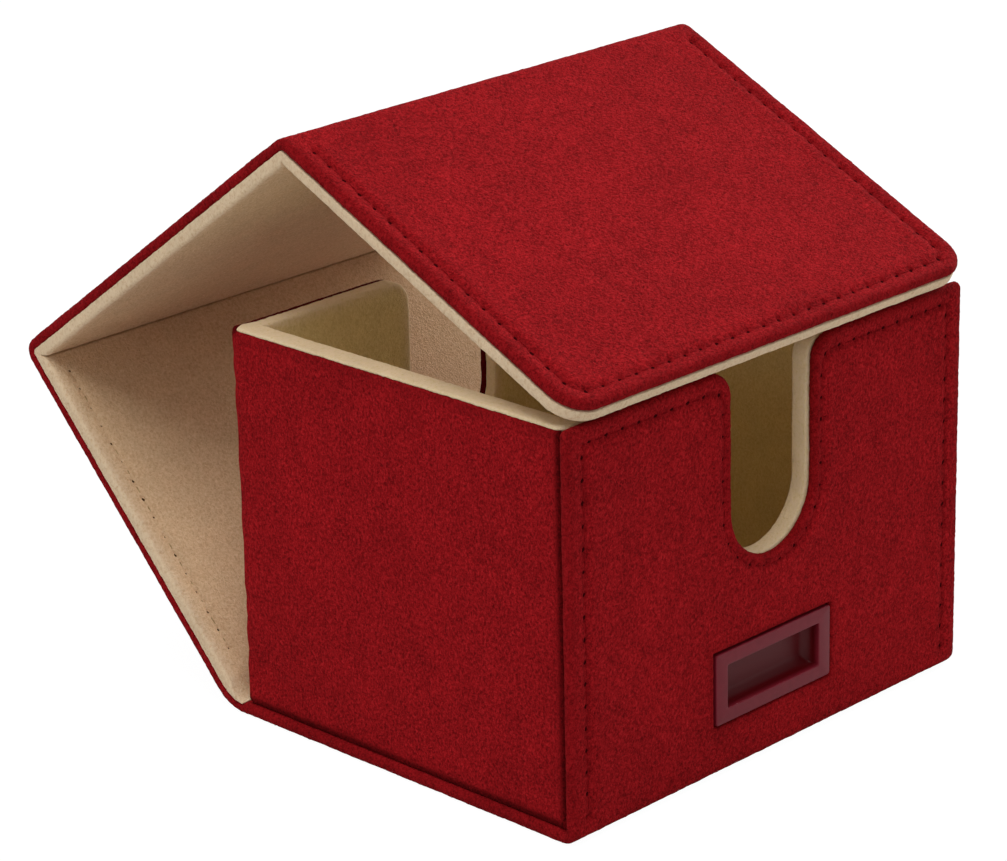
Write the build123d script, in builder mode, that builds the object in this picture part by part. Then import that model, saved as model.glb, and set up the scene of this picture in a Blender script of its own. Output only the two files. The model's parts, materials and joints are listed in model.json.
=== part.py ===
"""Card deck box: an open tray with a thumb notch front and back, wrapped by one strip of
suede cover that runs up the front, under the base and over the back as a three-panel lid.

Millimetres, +Z up, X across the box, front face towards -Y. The origin is the centre of
the tray's footprint on the table. The lid is modelled propped up as a tent: the back panel
leans back, the top panel rises towards the front, and the flap's free end lies on the rim.
"""

import os
from math import acos, asin, atan2, cos, degrees, hypot, radians, sin

from build123d import *

os.makedirs("parts", exist_ok=True)

# Tray
tray_width = 104.2
tray_depth = 84.0  # over the front cover and the back skin
tray_height = 76.0  # from the table to the rim
skin_thickness = 0.9  # suede glued round the sides and back
wall_board = 3.0
lining_thickness = 0.9
floor_board_thickness = 2.0
base_board_thickness = 1.2

# Wrap-round cover strip
cover_width = 105.8
cover_thickness = 2.0
front_fold_radius = 2.8

# Lid panels, on the cover strip
panel_board = 1.7
panel_lining = 0.8
lining_inset = 0.3  # the lining's edge stands this far inside the cover's edge
flap_corner_radius = 6.5
fold_room = 0.5  # free cover on each side of a fold's round
lid_gap = 0.4  # between the closed lid and the tray
flap_foot_gap = 3.0  # below the closed flap
base_board_setback = 0.5  # of the back panel's board, from the cover's free start
top_board_setback = 4.9  # of the boards on each side of the top fold
flap_board_setback = 3.6  # of the boards on each side of the flap fold

# Tent pose
back_lean = 42.74  # degrees behind upright
rim_clearance = 0.3  # between the flap's lining and the front rim
flap_overhang = 0.2  # the flap's length beyond the place where it rests on the rim

# Thumb notches, alike in the front and back walls
notch_width = 22.3
notch_depth = 37.3
notch_flare = 5.0  # radius of its top corners

# Magnetic catch
catch_width = 31.2
catch_height = 13.6
catch_centre_z = 16.9
catch_corner_radius = 0.5
recess_width = 25.0
recess_height = 8.3
recess_depth = 3.0
recess_corner_radius = 0.4
cup_wall = 1.0
cup_floor = 0.8
cup_clearance = 0.1
keeper_clearance = 0.5  # between the keeper and the recess it drops into
keeper_width = 19.6
keeper_stands = 2.5
keeper_corner_radius = 1.5
keeper_edge_radius = 0.6
magnet_thickness = 1.6
magnet_margin = 1.2  # keeper wall round its magnet

# Sewing
thread_width = 0.7
thread_height = 0.25
stitch_inset = 4.2  # of a seam from the edge it follows

# Places worked out from the above
front_y = -tray_depth / 2
back_y = tray_depth / 2
wall_thickness = wall_board + lining_thickness
inner_half_width = tray_width / 2 - skin_thickness - wall_thickness
tray_base_z = cover_thickness + base_board_thickness
front_wall_y = front_y + cover_thickness
back_wall_y = back_y - skin_thickness
floor_top_z = tray_base_z + floor_board_thickness + lining_thickness
cup_width = recess_width + 2 * cup_wall
cup_height = recess_height + 2 * cup_wall
cup_depth = recess_depth + cup_floor
notch_centre_z = tray_height - notch_depth + notch_width / 2
panel_stack = panel_board + panel_lining
inner_face = cover_thickness / 2 + panel_stack  # of a lid panel, from its cover's middle
fold_end = cover_thickness / 2 + fold_room  # where a panel's cover stops short of a fold

# The lid's folds lie in the middle of the cover. Lengths run from fold to fold.
hinge_y = back_y + lid_gap + inner_face
hinge_z = cover_thickness / 2
back_length = tray_height + lid_gap + inner_face - hinge_z
top_length = tray_depth + 2 * (lid_gap + inner_face)
flap_length = tray_height + lid_gap + inner_face - flap_foot_gap
flap_reach = flap_length - flap_overhang

# The tent: the flap fold lies top_length from the top fold, and flap_reach along the flap
# from the place where the flap's lining clears the front rim.
top_fold_y = hinge_y + back_length * sin(radians(back_lean))
top_fold_z = hinge_z + back_length * cos(radians(back_lean))
rim_offset = inner_face + rim_clearance
rim_reach = hypot(flap_reach, rim_offset)
span = hypot(front_y - top_fold_y, tray_height - top_fold_z)
span_angle = degrees(atan2(tray_height - top_fold_z, front_y - top_fold_y))
rise = degrees(acos((top_length**2 + span**2 - rim_reach**2) / (2 * top_length * span)))
back_angle = 90 - back_lean  # each panel's direction, in the YZ plane from +Y
top_angle = span_angle % 360 - rise
flap_fold_y = top_fold_y + top_length * cos(radians(top_angle))
flap_fold_z = top_fold_z + top_length * sin(radians(top_angle))
rim_angle = degrees(atan2(tray_height - flap_fold_z, front_y - flap_fold_y)) % 360
flap_angle = rim_angle - degrees(asin(rim_offset / rim_reach))

# The keeper lies where the closed flap puts it in the middle of the catch.
keeper_at = tray_height + lid_gap + inner_face - catch_centre_z
keeper_height = recess_height - 2 * keeper_clearance

print("hinge", hinge_y, hinge_z)
print("top fold", top_fold_y, top_fold_z, "flap fold", flap_fold_y, flap_fold_z)
print("panel angles", back_angle, top_angle, flap_angle)


def panel_plane(y, z, angle):
    """Middle of a panel's cover: Y runs along the panel from its fold, Z points inside."""
    inward = (0, -sin(radians(angle)), cos(radians(angle)))
    return Plane(origin=(0, y, z), x_dir=(1, 0, 0), z_dir=inward)


back_plane = panel_plane(hinge_y, hinge_z, back_angle)
top_plane = panel_plane(top_fold_y, top_fold_z, top_angle)
flap_plane = panel_plane(flap_fold_y, flap_fold_z, flap_angle)


def save(solid, name):
    solid.label = name
    export_step(solid, f"parts/{name}.step")


def wall_plane(y):
    """Upright plane across the box, seen from the front: X across, Y up."""
    return Plane(origin=(0, y, 0), x_dir=(1, 0, 0), z_dir=(0, -1, 0))


def notch_outline(grow, top):
    """A U with flared top corners, its edge moved out by grow into the wall."""
    half = notch_width / 2 + grow
    flare = notch_flare - grow
    with BuildSketch(Plane.XY) as outline:
        with BuildLine():
            Line((-half, top - flare), (-half, notch_centre_z))
            ThreePointArc((-half, notch_centre_z), (0, notch_centre_z - half), (half, notch_centre_z))
            Line((half, notch_centre_z), (half, top - flare))
            CenterArc((half + flare, top - flare), flare, 180, -90)
            Line((half + flare, top), (half + flare, top + notch_flare))
            Line((half + flare, top + notch_flare), (-half - flare, top + notch_flare))
            Line((-half - flare, top + notch_flare), (-half - flare, top))
            CenterArc((-half - flare, top - flare), flare, 90, -90)
        make_face()
    return outline.sketch


def end_wall(board_name, lining_name, outer_y, inward):
    """Board and wrapped lining of the front or back wall, with its thumb notch."""
    height = tray_height - tray_base_z
    board_top = tray_height - lining_thickness
    with BuildPart() as board:
        with BuildSketch(wall_plane(outer_y)):
            with Locations((0, tray_base_z)):
                Rectangle(
                    2 * inner_half_width,
                    height - lining_thickness,
                    align=(Align.CENTER, Align.MIN),
                )
            add(notch_outline(lining_thickness, board_top), mode=Mode.SUBTRACT)
        extrude(amount=-inward * wall_board)
        if inward > 0:
            with BuildSketch(wall_plane(outer_y)):
                with Locations((0, catch_centre_z)):
                    Rectangle(cup_width + 2 * cup_clearance, cup_height + 2 * cup_clearance)
            extrude(amount=-wall_board, mode=Mode.SUBTRACT)
    with BuildPart() as lining:
        with BuildSketch(wall_plane(outer_y)):
            with Locations((0, tray_base_z)):
                Rectangle(2 * inner_half_width, height, align=(Align.CENTER, Align.MIN))
            add(notch_outline(0, tray_height), mode=Mode.SUBTRACT)
        extrude(amount=-inward * wall_thickness)
        with BuildSketch(wall_plane(outer_y)):
            with Locations((0, tray_base_z)):
                Rectangle(
                    2 * inner_half_width,
                    height - lining_thickness,
                    align=(Align.CENTER, Align.MIN),
                )
            add(notch_outline(lining_thickness, board_top), mode=Mode.SUBTRACT)
        extrude(amount=-inward * wall_board, mode=Mode.SUBTRACT)
    save(board.part, board_name)
    save(lining.part, lining_name)


def side_wall(board_name, lining_name, side):
    """Board and wrapped lining of the left (side -1) or right (side 1) wall."""
    outer_x = side * (tray_width / 2 - skin_thickness)
    length = back_wall_y - front_wall_y
    middle_y = (back_wall_y + front_wall_y) / 2
    board_top = tray_height - lining_thickness - tray_base_z
    with BuildPart() as board:
        with BuildSketch(Plane.XY.offset(tray_base_z)):
            with Locations((outer_x - side * wall_board / 2, middle_y)):
                Rectangle(wall_board, length)
        extrude(amount=board_top)
    with BuildPart() as lining:
        with BuildSketch(Plane.XY.offset(tray_base_z)):
            with Locations((outer_x - side * wall_thickness / 2, middle_y)):
                Rectangle(wall_thickness, length)
        extrude(amount=tray_height - tray_base_z)
        with BuildSketch(Plane.XY.offset(tray_base_z)):
            with Locations((outer_x - side * wall_board / 2, middle_y)):
                Rectangle(wall_board, length)
        extrude(amount=board_top, mode=Mode.SUBTRACT)
    save(board.part, board_name)
    save(lining.part, lining_name)


def floor_plate(name, bottom_z, thickness, width, y_low, y_high):
    with BuildPart() as plate:
        with BuildSketch(Plane.XY.offset(bottom_z)):
            with Locations((0, (y_low + y_high) / 2)):
                Rectangle(width, y_high - y_low)
        extrude(amount=thickness)
    save(plate.part, name)


def tray_skin():
    """Suede round the left, back and right sides, with the back notch cut through."""
    inner_half = tray_width / 2 - skin_thickness
    with BuildPart() as skin:
        with BuildSketch(Plane.XY.offset(tray_base_z)):
            with Locations((0, (front_wall_y + back_y) / 2)):
                Rectangle(tray_width, back_y - front_wall_y)
            with Locations((0, (front_wall_y + back_wall_y) / 2)):
                Rectangle(2 * inner_half, back_wall_y - front_wall_y, mode=Mode.SUBTRACT)
        extrude(amount=tray_height - tray_base_z)
        fillet(
            skin.edges().filter_by(Axis.Z).filter_by_position(Axis.Y, back_y, back_y),
            radius=1.5 * skin_thickness,
        )
        with BuildSketch(wall_plane(back_y)):
            add(notch_outline(0, tray_height))
        extrude(amount=skin_thickness, mode=Mode.SUBTRACT)
    save(skin.part, "tray_skin")


def wrap_cover():
    """The strip's fixed stretch: front panel, fold, base and the tongue to the hinge."""
    with BuildPart() as cover:
        with BuildSketch(Plane.YZ):
            with BuildLine():
                Polyline(
                    (front_y, tray_height),
                    (front_y, 0),
                    (hinge_y, 0),
                    (hinge_y, cover_thickness),
                    (front_wall_y, cover_thickness),
                    (front_wall_y, tray_height),
                    close=True,
                )
            make_face()
            with Locations((hinge_y, hinge_z)):
                Circle(cover_thickness / 2)
        extrude(amount=cover_width / 2, both=True)
        fold_edge = cover.edges().filter_by(Axis.X).group_by(Axis.Z)[0].sort_by(Axis.Y)[0]
        fillet(fold_edge, radius=front_fold_radius)
        with BuildSketch(wall_plane(front_y)):
            add(notch_outline(0, tray_height))
            with Locations((0, catch_centre_z)):
                RectangleRounded(
                    catch_width + 2 * cup_clearance,
                    catch_height + 2 * cup_clearance,
                    catch_corner_radius,
                )
        extrude(amount=-cover_thickness, mode=Mode.SUBTRACT)
    save(cover.part, "wrap_cover")


def catch():
    """Plastic cup let into the front, and the steel plate that fills in behind it."""
    centre = (0, catch_centre_z)
    with BuildPart() as cup:
        with BuildSketch(wall_plane(front_y)):
            with Locations(centre):
                RectangleRounded(catch_width, catch_height, catch_corner_radius)
        extrude(amount=-cover_thickness)
        with BuildSketch(wall_plane(front_wall_y)):
            with Locations(centre):
                Rectangle(cup_width, cup_height)
        extrude(amount=-(cup_depth - cover_thickness))
        with BuildSketch(wall_plane(front_y)):
            with Locations(centre):
                RectangleRounded(recess_width, recess_height, recess_corner_radius)
        extrude(amount=-recess_depth, mode=Mode.SUBTRACT)
    with BuildPart() as plate:
        with BuildSketch(wall_plane(front_y + cup_depth)):
            with Locations(centre):
                Rectangle(cup_width, cup_height)
        extrude(amount=-(cover_thickness + wall_board - cup_depth))
    save(cup.part, "catch_cup")
    save(plate.part, "catch_plate")


def span_rectangle(width, start, end):
    """A rectangle on a panel's plane, centred across it, from start to end along it."""
    with Locations((0, (start + end) / 2)):
        Rectangle(width, end - start)


def round_free_end(sketch, radius):
    """Rounds the two corners at a panel's free end."""
    fillet(sketch.vertices().group_by(Axis.Y)[-1], radius=radius)


def keeper_outline(grow):
    """The keeper's outline on the flap's plane, its edge moved out by grow."""
    with BuildSketch(Plane.XY) as outline:
        with Locations((0, keeper_at)):
            RectangleRounded(
                keeper_width + 2 * grow, keeper_height + 2 * grow, keeper_corner_radius + grow
            )
    return outline.sketch


def lid_panel(name, plane, cover_span, board_span, corner_radius=0, has_keeper=False):
    """Cover, board and lining of one lid panel. Spans run from the panel's first fold."""
    lining_width = cover_width - 2 * lining_inset
    board_width = lining_width - 2 * panel_lining
    board_start = board_span[0] + panel_lining
    board_end = board_span[1] - panel_lining
    lining_corner = corner_radius - lining_inset
    board_corner = lining_corner - panel_lining
    with BuildPart() as cover:
        with BuildSketch(plane.offset(-cover_thickness / 2)) as outline:
            span_rectangle(cover_width, *cover_span)
            if corner_radius:
                round_free_end(outline, corner_radius)
        extrude(amount=cover_thickness)
    with BuildPart() as board:
        with BuildSketch(plane.offset(cover_thickness / 2)) as outline:
            span_rectangle(board_width, board_start, board_end)
            if corner_radius:
                round_free_end(outline, board_corner)
        extrude(amount=panel_board)
        if has_keeper:
            with BuildSketch(plane.offset(cover_thickness / 2)):
                add(keeper_outline(cup_clearance))
            extrude(amount=panel_board, mode=Mode.SUBTRACT)
    with BuildPart() as lining:
        with BuildSketch(plane.offset(cover_thickness / 2)) as outline:
            span_rectangle(lining_width, *board_span)
            if corner_radius:
                round_free_end(outline, lining_corner)
        extrude(amount=panel_stack)
        with BuildSketch(plane.offset(cover_thickness / 2)) as outline:
            span_rectangle(board_width, board_start, board_end)
            if corner_radius:
                round_free_end(outline, board_corner)
        extrude(amount=panel_board, mode=Mode.SUBTRACT)
        if has_keeper:
            with BuildSketch(plane.offset(cover_thickness / 2)):
                add(keeper_outline(cup_clearance))
            extrude(amount=panel_stack, mode=Mode.SUBTRACT)
    save(cover.part, f"{name}_cover")
    save(board.part, f"{name}_board")
    save(lining.part, f"{name}_lining")


def fold_strip(name, y, z):
    """The round of free cover between two panels, turning about its own middle."""
    with BuildPart() as strip:
        with BuildSketch(Plane.YZ):
            with Locations((y, z)):
                Circle(cover_thickness / 2)
        extrude(amount=cover_width / 2, both=True)
    save(strip.part, name)


def keeper():
    """The flap's boss, which drops into the catch, and the magnet sunk in its back."""
    magnet_width = keeper_width - 2 * magnet_margin
    magnet_height = keeper_height - 2 * magnet_margin
    root_plane = flap_plane.offset(cover_thickness / 2)
    inward = Axis(root_plane.origin, root_plane.z_dir)
    with BuildPart() as boss:
        with BuildSketch(root_plane):
            add(keeper_outline(0))
        extrude(amount=panel_stack + keeper_stands)
        fillet(boss.faces().sort_by(inward)[-1].edges(), radius=keeper_edge_radius)
        with BuildSketch(root_plane):
            with Locations((0, keeper_at)):
                Rectangle(magnet_width, magnet_height)
        extrude(amount=magnet_thickness, mode=Mode.SUBTRACT)
    with BuildPart() as magnet:
        with BuildSketch(root_plane):
            with Locations((0, keeper_at)):
                Rectangle(magnet_width, magnet_height)
        extrude(amount=magnet_thickness)
    save(boss.part, "flap_keeper")
    save(magnet.part, "flap_magnet")


def seam_span(start, end, edge, free_end):
    """Region inside a seam line edge in from the sides, and from the end if it is free."""
    last = end - edge if free_end else end
    with BuildSketch(Plane.XY) as region:
        span_rectangle(cover_width - 2 * edge, start, last)
        if free_end:
            round_free_end(region, flap_corner_radius / 2)
    return region.sketch


def panel_stitching(name, plane, start, end, free_end=False):
    """Thread along a panel's long edges and free end, on its outer and inner faces."""
    line_out = stitch_inset - thread_width / 2
    line_in = stitch_inset + thread_width / 2
    with BuildPart() as thread:
        for height, reach in (
            (-cover_thickness / 2, -thread_height),
            (inner_face, thread_height),
        ):
            with BuildSketch(plane.offset(height)):
                add(seam_span(start, end, line_out, free_end))
                add(seam_span(start, end, line_in, free_end), mode=Mode.SUBTRACT)
            extrude(amount=reach)
    save(thread.part, name)


def front_seam_region(edge):
    """Region of the front panel inside a seam line edge in from its sides, top and notch."""
    half = notch_width / 2 + edge
    with BuildSketch(Plane.XY) as region:
        with Locations((0, front_fold_radius)):
            Rectangle(
                cover_width - 2 * edge,
                tray_height - edge - front_fold_radius,
                align=(Align.CENTER, Align.MIN),
            )
        with Locations((0, notch_centre_z)):
            Circle(half, mode=Mode.SUBTRACT)
            Rectangle(
                2 * half, tray_height, align=(Align.CENTER, Align.MIN), mode=Mode.SUBTRACT
            )
    return region.sketch


def front_stitching():
    with BuildPart() as thread:
        with BuildSketch(wall_plane(front_y)):
            add(front_seam_region(stitch_inset - thread_width / 2))
            add(front_seam_region(stitch_inset + thread_width / 2), mode=Mode.SUBTRACT)
        extrude(amount=thread_height)
    save(thread.part, "front_stitching")


wrap_cover()
tray_skin()
floor_plate(
    "base_board", cover_thickness, base_board_thickness, tray_width, front_wall_y, back_y
)
floor_plate(
    "floor_board",
    tray_base_z,
    floor_board_thickness,
    2 * inner_half_width,
    front_wall_y + wall_thickness,
    back_wall_y - wall_thickness,
)
floor_plate(
    "floor_lining",
    tray_base_z + floor_board_thickness,
    lining_thickness,
    2 * inner_half_width,
    front_wall_y + wall_thickness,
    back_wall_y - wall_thickness,
)
side_wall("left_board", "left_lining", -1)
side_wall("right_board", "right_lining", 1)
end_wall("front_board", "front_lining", front_wall_y, 1)
end_wall("back_board", "back_lining", back_wall_y, -1)
catch()
front_stitching()

back_cover_span = (fold_end, back_length - fold_end)
back_board_span = (fold_end + base_board_setback, back_length - top_board_setback)
top_cover_span = (fold_end, top_length - fold_end)
top_board_span = (top_board_setback, top_length - flap_board_setback)
flap_cover_span = (fold_end, flap_length)
flap_board_span = (flap_board_setback, flap_length - lining_inset)
lid_panel("back_panel", back_plane, back_cover_span, back_board_span)
lid_panel("top_panel", top_plane, top_cover_span, top_board_span)
lid_panel(
    "flap",
    flap_plane,
    flap_cover_span,
    flap_board_span,
    corner_radius=flap_corner_radius,
    has_keeper=True,
)
keeper()
fold_strip("top_fold_strip", top_fold_y, top_fold_z)
fold_strip("flap_fold_strip", flap_fold_y, flap_fold_z)
panel_stitching("back_panel_stitching", back_plane, *back_board_span)
panel_stitching("top_panel_stitching", top_plane, *top_board_span)
panel_stitching("flap_stitching", flap_plane, *flap_board_span, free_end=True)
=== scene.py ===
"""Looks of a flip-top card box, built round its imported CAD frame.

Lengths are in millimetres until they go into a mesh. A suede panel is laid out flat: c runs
across the strip, s along it, and m through its thickness, from the outer face to the inner
one. A Path then bends it round the box.
"""

import json
import math

import bmesh
import bpy
import numpy as np
from mathutils import Matrix, Vector, noise
from mathutils.geometry import delaunay_2d_cdt
from mathutils.kdtree import KDTree


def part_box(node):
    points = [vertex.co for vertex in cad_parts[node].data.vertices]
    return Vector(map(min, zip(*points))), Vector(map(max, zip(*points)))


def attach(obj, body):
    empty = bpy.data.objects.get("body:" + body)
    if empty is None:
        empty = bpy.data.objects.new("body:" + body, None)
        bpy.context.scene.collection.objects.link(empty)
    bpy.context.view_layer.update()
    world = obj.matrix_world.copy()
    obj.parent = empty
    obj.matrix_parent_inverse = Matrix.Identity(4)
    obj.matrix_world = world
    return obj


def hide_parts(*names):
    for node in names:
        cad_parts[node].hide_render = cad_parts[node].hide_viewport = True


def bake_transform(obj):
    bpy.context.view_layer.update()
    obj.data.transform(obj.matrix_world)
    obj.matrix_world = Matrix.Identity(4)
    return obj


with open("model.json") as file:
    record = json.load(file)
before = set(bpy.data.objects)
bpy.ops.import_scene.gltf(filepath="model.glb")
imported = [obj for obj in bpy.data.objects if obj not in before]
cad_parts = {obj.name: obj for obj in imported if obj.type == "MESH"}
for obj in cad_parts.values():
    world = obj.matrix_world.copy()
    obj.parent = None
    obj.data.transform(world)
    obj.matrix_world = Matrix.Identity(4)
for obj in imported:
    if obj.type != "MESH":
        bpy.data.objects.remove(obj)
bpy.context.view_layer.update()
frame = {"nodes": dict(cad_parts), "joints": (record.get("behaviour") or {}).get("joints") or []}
MM = 0.001
STEP = 0.5  # along the panels' outlines
nodes = frame["nodes"]


def box_mm(node):
    low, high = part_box(node)
    return np.array(low) / MM, np.array(high) / MM


def joint_mm(name):
    found = next(j for j in frame["joints"] if j["name"] == name)
    return np.array(found["pos_m"][1:]) / MM


# ---------------------------------------------------------------- sizes, from the frame
wrap_low, wrap_high = box_mm("wrap_cover")
skin_low, skin_high = box_mm("tray_skin")
wall_low, wall_high = box_mm("left_lining")
front_low, _ = box_mm("front_lining")
_, back_high = box_mm("back_lining")
COVER_HALF = wrap_high[0]
RIM = wrap_high[2]
FRONT = wrap_low[1]
BACK = skin_high[1]
COVER = front_low[1] - FRONT  # thickness of the cover strip
SKIN = wall_low[0] - skin_low[0]
WALL = wall_high[0] - wall_low[0]
TRAY_FOOT = skin_low[2]
PANEL = 2.5  # board and lining of a lid panel
INNER = COVER / 2 + PANEL - 0.1  # the lid lining's face, clear of the tray when shut
LINING_INSET = 0.12  # from the cover's edge to the lid lining's
HINGE, TOP_FOLD, FLAP_FOLD = (joint_mm(n) for n in ("back_hinge", "top_hinge", "flap_hinge"))
flap_mesh = np.array([v.co for v in nodes["flap_cover"].data.vertices])[:, 1:] / MM
flap_way = flap_mesh.mean(0) - FLAP_FOLD
flap_way /= np.hypot(*flap_way)
FLAP_LENGTH = ((flap_mesh - FLAP_FOLD) @ flap_way).max()
NOTCH_HALF, NOTCH_DEPTH, NOTCH_FLARE = 11.15, 37.3, 5.0
FLAP_CORNER = 6.5
SEAM_INSET = 4.2  # on the front
SIDE_SEAM_INSET = 3.9  # on the lid
PITCH = 4.1  # from one stitch hole to the next


# ---------------------------------------------------------------- bending a flat strip
def along(a):
    return np.stack([np.cos(a), np.sin(a)], -1)


def inward(a):
    return np.stack([-np.sin(a), np.cos(a)], -1)


class Path:
    """A strip's middle line: straight runs that turn left at each corner. A layer at height m
    turns on a radius of rounds - m, and a layer further in than rounds meets in a mitre."""

    def __init__(self, corners, rounds, reach):
        self.corners = np.array(corners, float)
        runs = np.diff(self.corners, axis=0)
        self.at = np.concatenate([[0], np.cumsum(np.hypot(runs[:, 0], runs[:, 1]))])
        self.angle = np.unwrap(np.arctan2(runs[:, 1], runs[:, 0]))
        self.rounds, self.reach = rounds, reach

    def place(self, s, m):
        k = np.clip(np.searchsorted(self.at, s, side="right") - 1, 0, len(self.angle) - 1)
        a = self.angle[k]
        out = self.corners[k] + (s - self.at[k])[:, None] * along(a) + m[:, None] * inward(a)
        for i, (r, reach) in enumerate(zip(self.rounds, self.reach), start=1):
            q = s - self.at[i]
            near = np.abs(q) < reach
            if not near.any():
                continue
            q, layer = q[near], m[near]
            corner, a0, a1 = self.corners[i], self.angle[i - 1], self.angle[i]
            half = (a1 - a0) / 2
            side = np.where(q < 0, -1.0, 1.0)
            straight = reach - np.maximum(r, layer) * math.tan(half)
            radius = np.maximum(r - layer, 0)
            way = (1 - np.abs(q) / reach) * (straight + radius * half)
            run_angle = np.where(q < 0, a0, a1)
            flat = (
                corner
                + (side * (reach - way))[:, None] * along(run_angle)
                + layer[:, None] * inward(run_angle)
            )
            turn = (way - straight) / np.maximum(radius, 1e-9)
            centre = corner - along(a0) * r * math.tan(half) + inward(a0) * r
            bent = centre - radius[:, None] * inward(run_angle - side * turn)
            out[near] = np.where((way > straight)[:, None], bent, flat)
        return out


strip = Path(
    [
        (FRONT + COVER / 2, RIM),
        (FRONT + COVER / 2, HINGE[1]),
        HINGE,
        TOP_FOLD,
        FLAP_FOLD,
        FLAP_FOLD + flap_way * FLAP_LENGTH,
    ],
    rounds=(1.8, 8.5, 2.0, 2.0),
    reach=(4.5, 6.5, 5.2, 5.2),
)
S_FOOT, S_HINGE, S_TOP, S_FLAP, S_END = strip.at[1:]
tray_x = -skin_low[0] - SKIN / 2
tray_back = BACK - SKIN / 2
tray = Path(
    [(tray_x, front_low[1]), (tray_x, tray_back), (-tray_x, tray_back), (-tray_x, front_low[1])],
    rounds=(1.6, 1.6),
    reach=(3.0, 3.0),
)
wall_x = -wall_low[0] - WALL / 2
wall_front, wall_back = front_low[1] + WALL / 2, back_high[1] - WALL / 2
walls = Path(
    [
        (0, wall_front),
        (wall_x, wall_front),
        (wall_x, wall_back),
        (-wall_x, wall_back),
        (-wall_x, wall_front),
        (0, wall_front),
    ],
    rounds=(-0.4,) * 4,
    reach=(3.5,) * 4,
)


def lid_place(c, s, m):
    yz = strip.place(s, m)
    return np.stack([c, yz[:, 0], yz[:, 1]], 1)


def tray_place(c, s, m):
    xy = tray.place(s, m)
    return np.stack([xy[:, 0], xy[:, 1], c], 1)


def walls_place(c, s, m):
    xy = walls.place(s, m)
    return np.stack([xy[:, 0], xy[:, 1], c], 1)


# ---------------------------------------------------------------- outlines
def arc(cx, cy, r, start, stop, step=STEP):
    n = max(4, int(abs(math.radians(stop - start)) * r / step) + 1)
    a = np.radians(np.linspace(start, stop, n + 1))
    return np.stack([cx + r * np.cos(a), cy + r * np.sin(a)], 1)


def polyline(*parts):
    """Points and arcs in one list, with no point twice in a row."""
    p = np.concatenate([np.atleast_2d(np.array(x, float)) for x in parts])
    keep = np.hypot(*(p - np.roll(p, 1, axis=0)).T) > 1e-6
    keep[0] = True
    return p[keep]


def divide(p, step=STEP, closed=True):
    """The same line with points at most step apart."""
    out = []
    for i in range(len(p) if closed else len(p) - 1):
        a, b = p[i], p[(i + 1) % len(p)]
        n = max(1, math.ceil(np.hypot(*(b - a)) / step - 1e-6))
        out.append(a + (b - a) * np.arange(n)[:, None] / n)
    if not closed:
        out.append(p[-1:])
    out = np.concatenate(out)
    if closed and np.hypot(*(out[0] - out[-1])) < 1e-6:
        out = out[:-1]
    return out


def turned(loop, ccw):
    x, y = loop.T
    area = (x * np.roll(y, -1) - np.roll(x, -1) * y).sum()
    return loop if (area > 0) == ccw else loop[::-1]


def notched_edge(half, top, corner, grow=0.0):
    """The top edge from -half to half, as (across, height), with the thumb notch in it."""
    flare_x = NOTCH_HALF + NOTCH_FLARE
    flare, bottom = NOTCH_FLARE - grow, RIM - NOTCH_DEPTH + NOTCH_HALF
    left = arc(-half + corner, top - corner, corner, 180, 90) if corner else (-half, top)
    right = arc(half - corner, top - corner, corner, 90, 0) if corner else (half, top)
    return polyline(
        left,
        arc(-flare_x, top - flare, flare, 90, 0),
        arc(0, bottom, NOTCH_HALF + grow, 180, 270),
        arc(0, bottom, NOTCH_HALF + grow, 270, 360),
        arc(flare_x, top - flare, flare, 180, 90),
        right,
    )


def rectangle(x0, x1, y0, y1, stops=()):
    """A rectangle whose long sides also have points at the stops."""
    up = [y for y in sorted(stops) if y0 < y < y1]
    return polyline(
        (x0, y0), (x1, y0), *[(x1, y) for y in up], (x1, y1), (x0, y1), *[(x0, y) for y in up[::-1]]
    )


# ---------------------------------------------------------------- plates with rounded edges
def distance_to(points, line):
    """From each point to the nearest point of the line."""
    tree = KDTree(len(line))
    for i, (x, y) in enumerate(line):
        tree.insert((x, y, 0), i)
    tree.balance()
    return np.array([tree.find((x, y, 0))[2] for x, y in points])


def inside(points, loops, chunk=4000):
    result = np.zeros(len(points), bool)
    for i in range(0, len(points), chunk):
        p = points[i : i + chunk]
        crossings = np.zeros(len(p), int)
        for loop in loops:
            a, b = loop, np.roll(loop, -1, axis=0)
            above = (a[None, :, 1] > p[:, None, 1]) != (b[None, :, 1] > p[:, None, 1])
            rise = np.where(np.abs(b[:, 1] - a[:, 1]) < 1e-12, 1e-12, b[:, 1] - a[:, 1])
            x = a[:, 0] + (p[:, None, 1] - a[None, :, 1]) * ((b[:, 0] - a[:, 0]) / rise)[None, :]
            crossings += (above & (p[:, None, 0] < x)).sum(1)
        result[i : i + chunk] = crossings % 2 == 1
    return result


def inset_vectors(loop, cut):
    """How each outline point moves per millimetre of inset. A cut stays on its own line."""
    ahead = np.roll(loop, -1, axis=0) - loop
    ahead /= np.hypot(*ahead.T)[:, None]
    behind = np.roll(ahead, 1, axis=0)
    normal = lambda d: np.stack([-d[:, 1], d[:, 0]], 1)
    n0, n1 = normal(behind), normal(ahead)
    on = cut(loop)
    next_cut = on & np.roll(on, -1)
    last_cut = np.roll(next_cut, 1)
    v = (n0 + n1) / (1 + (n0 * n1).sum(1))[:, None]
    leave, enter = last_cut & ~next_cut, next_cut & ~last_cut
    v[leave] = behind[leave] / (behind[leave] * n1[leave]).sum(1)[:, None]
    v[enter] = ahead[enter] / (ahead[enter] * n0[enter]).sum(1)[:, None]
    both = next_cut & last_cut
    v[both] = 0
    return v, both


def nowhere(points):
    return np.zeros(len(points), bool)


def thin_out(points, cell):
    """At most one point in each cell, the first one given."""
    keys = np.round(points / cell).astype(int)
    _, first = np.unique(keys, axis=0, return_index=True)
    return points[np.sort(first)]


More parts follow.
